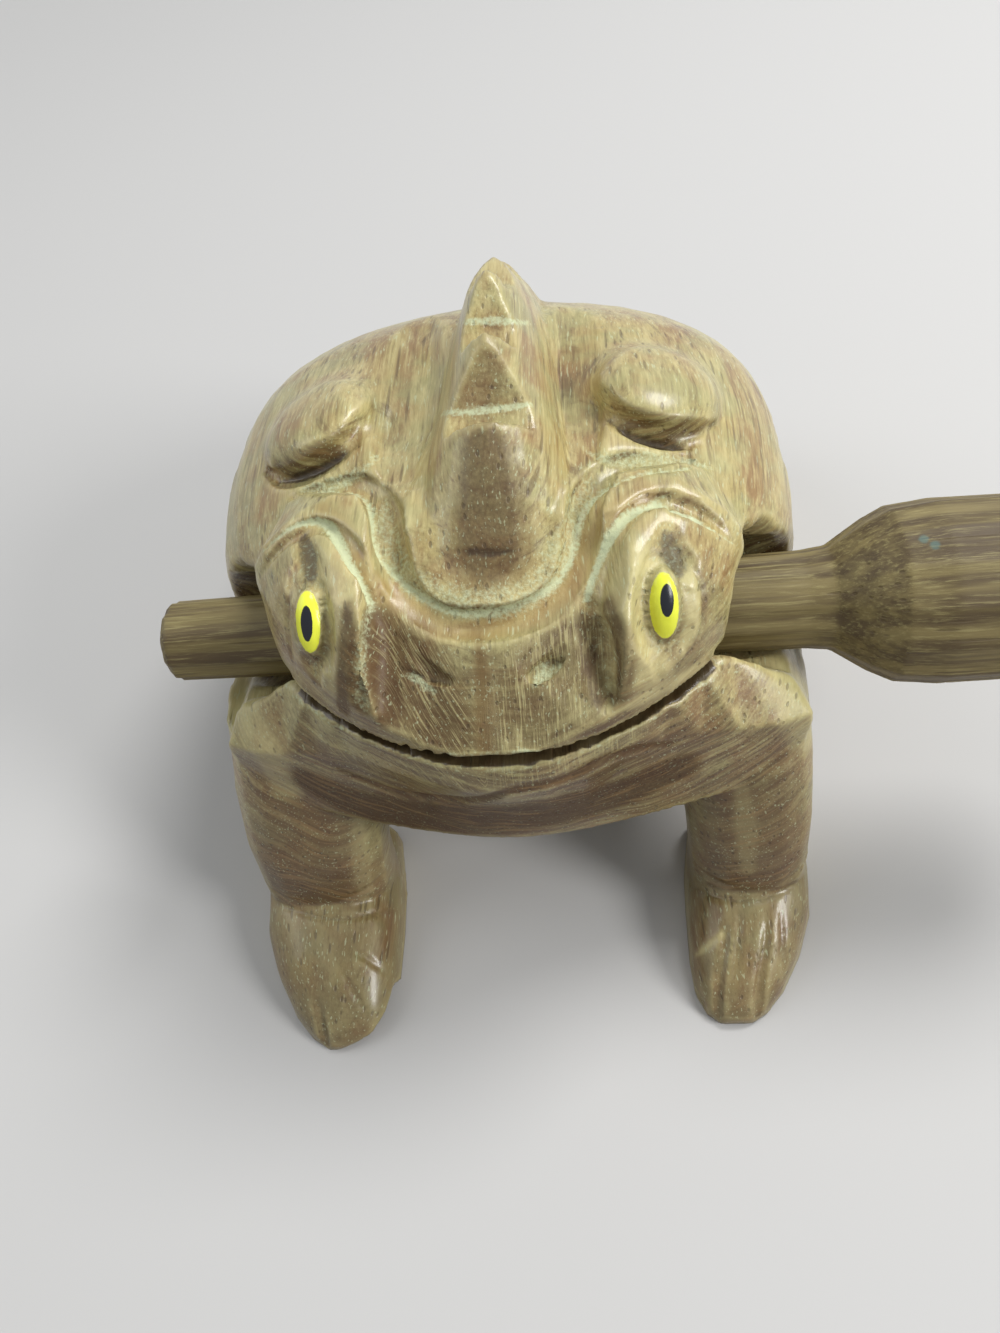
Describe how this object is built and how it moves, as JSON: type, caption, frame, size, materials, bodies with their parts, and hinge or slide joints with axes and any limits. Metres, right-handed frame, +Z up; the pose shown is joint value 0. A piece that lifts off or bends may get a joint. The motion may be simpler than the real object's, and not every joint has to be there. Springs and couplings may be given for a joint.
{
  "type": "wooden frog rattle",
  "caption": "Carved wooden frog with a toothed spine and a scraper stick stored in a bore behind its mouth; rubbing the stick along the spine makes a croak.",
  "frame": {"origin": "middle of the footprint of frog and stick together, on the floor", "axes": "the frog faces -Y, the stick's head points to +X, +Z is up"},
  "size_m": [0.1252, 0.12, 0.0714],
  "materials": {
    "frog_wood": "rubbed wood, satin",
    "stick_wood": "whittled wood, satin"
  },
  "bodies": {
    "root": {"frog_body": "frog_wood", "striker_stick": "stick_wood"}
  },
  "joints": []
}
